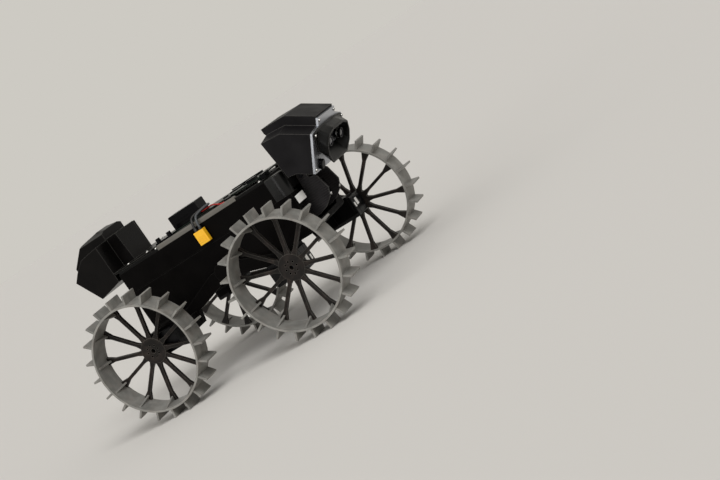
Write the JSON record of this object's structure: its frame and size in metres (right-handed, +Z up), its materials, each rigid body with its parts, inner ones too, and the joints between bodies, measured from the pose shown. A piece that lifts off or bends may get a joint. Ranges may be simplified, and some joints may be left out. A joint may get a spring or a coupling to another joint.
{
  "type": "planetary rover prototype",
  "caption": "Small prototype planetary rover: long black printed hull, pitched camera head, tail housing and grouser-ringed spoked wheels driven by servos.",
  "frame": {"origin": "floor under the middle of the rover's outer box, cords left out", "axes": "+X forward towards the camera head, +Y to the rover's left, +Z up"},
  "size_m": [0.4237, 0.315, 0.2447],
  "materials": {
    "black_print": "3-D printed plastic, matte, fine layer lines",
    "frame_print": "dark grey printed plastic",
    "wheel_print": "warm grey printed plastic",
    "spoke_print": "darker brownish grey printed plastic",
    "servo_case": "black moulded servo case",
    "servo_horn": "black moulded horn",
    "deck_sheet": "grey deck sheet",
    "duct_grey": "pale grey cable duct",
    "head_sheet": "satin sheet",
    "pin_steel": "bright",
    "box_plastic": "black moulded case",
    "board": "dark board",
    "plug_nylon": "yellow moulded nylon",
    "wire_black": "silicone insulation",
    "wire_grey": "silicone insulation",
    "wire_red": "silicone insulation",
    "barrel": "dark anodised",
    "lens": "coated lens",
    "plate_white": "blank pale face"
  },
  "bodies": {
    "chassis": {"lower_hull": "black_print", "upper_hull": "black_print", "front_frame": "frame_print", "deck_plate": "deck_sheet", "corner_column_right": "black_print", "corner_column_left": "black_print", "nameplate_block": "plate_white", "rocker_right": "black_print", "rocker_left": "black_print", "tail_housing": "black_print", "edge_duct_right": "duct_grey", "edge_duct_left": "duct_grey", "deck_connectors": "box_plastic", "board_tray": "board", "deck_box": "box_plastic", "deck_socket": "box_plastic", "power_plug": "plug_nylon", "power_lead_black": "wire_black", "power_lead_grey": "wire_grey", "red_wire": "wire_red", "neck_bracket": "frame_print", "tilt_servo": "servo_case", "tilt_pin": "pin_steel", "wheel_servo_front_right": "servo_case", "wheel_servo_front_left": "servo_case", "wheel_servo_rear_right": "servo_case", "wheel_servo_rear_left": "servo_case"},
    "head": {"head_shell": "black_print", "head_plate": "head_sheet", "lens_hood": "black_print", "round_sensor": "box_plastic", "camera_barrels": "barrel", "camera_lenses": "lens", "head_knuckle": "black_print"},
    "wheel_front_right": {"wheel_rim_front_right": "wheel_print", "wheel_hub_front_right": "spoke_print", "servo_horn_front_right": "servo_horn"},
    "wheel_front_left": {"wheel_rim_front_left": "wheel_print", "wheel_hub_front_left": "spoke_print", "servo_horn_front_left": "servo_horn"},
    "wheel_rear_right": {"wheel_rim_rear_right": "wheel_print", "wheel_hub_rear_right": "spoke_print", "servo_horn_rear_right": "servo_horn"},
    "wheel_rear_left": {"wheel_rim_rear_left": "wheel_print", "wheel_hub_rear_left": "spoke_print", "servo_horn_rear_left": "servo_horn"}
  },
  "joints": [
    {"name": "wheel_spin_front_right", "type": "hinge", "parent": "chassis", "child": "wheel_front_right", "pos_m": [0.11515, -0.128, 0.08374], "axis": [0, 1, 0], "continuous": true},
    {"name": "wheel_spin_front_left", "type": "hinge", "parent": "chassis", "child": "wheel_front_left", "pos_m": [0.11515, 0.128, 0.08374], "axis": [0, 1, 0], "continuous": true},
    {"name": "wheel_spin_rear_right", "type": "hinge", "parent": "chassis", "child": "wheel_rear_right", "pos_m": [-0.11485, -0.128, 0.08374], "axis": [0, 1, 0], "continuous": true},
    {"name": "wheel_spin_rear_left", "type": "hinge", "parent": "chassis", "child": "wheel_rear_left", "pos_m": [-0.11485, 0.128, 0.08374], "axis": [0, 1, 0], "continuous": true},
    {"name": "head_tilt", "type": "hinge", "parent": "chassis", "child": "head", "pos_m": [0.14015, 0, 0.16274], "axis": [0, 1, 0], "range_deg": [-1, 24]}
  ]
}
